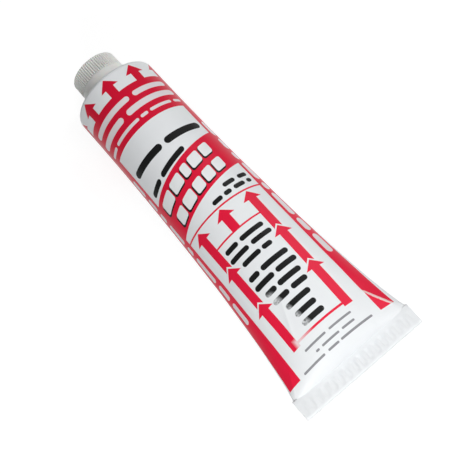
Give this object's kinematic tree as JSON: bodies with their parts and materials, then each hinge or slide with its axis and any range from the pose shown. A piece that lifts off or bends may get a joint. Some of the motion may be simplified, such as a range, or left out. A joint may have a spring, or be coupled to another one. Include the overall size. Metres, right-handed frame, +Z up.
{
  "type": "putty tube",
  "caption": "Filled collapsible metal tube with a round shoulder, a flat folded and crimped end and a small ribbed screw cap, lying on its back.",
  "frame": {"origin": "on the ground under the middle of the whole length and width", "axes": "+Y along the tube towards the cap, +Z up out of the printed side, X across the fold"},
  "size_m": [0.0398, 0.1198, 0.0251],
  "materials": {
    "enamel": "gloss white enamel on thin aluminium, with red print",
    "cap_plastic": "satin warm grey-white moulded plastic",
    "liner_board": "matt sealing disc"
  },
  "bodies": {
    "tube_body": {"tube": "enamel"},
    "liner_body": {"liner": "liner_board"},
    "cap_body": {"cap": "cap_plastic"}
  },
  "joints": [
    {"name": "cap_lift", "type": "slide", "parent": "tube_body", "child": "liner_body", "axis": [0, 1, 0], "range_m": [0, 0.007]},
    {"name": "cap_turn", "type": "hinge", "parent": "liner_body", "child": "cap_body", "pos_m": [0, 0.055, 0.01235], "axis": [0, 1, 0], "range_deg": [0, 1440]}
  ],
  "couplings": [
    {"joint": "cap_turn", "follows": "cap_lift", "rad_per_m": 3590.4}
  ]
}
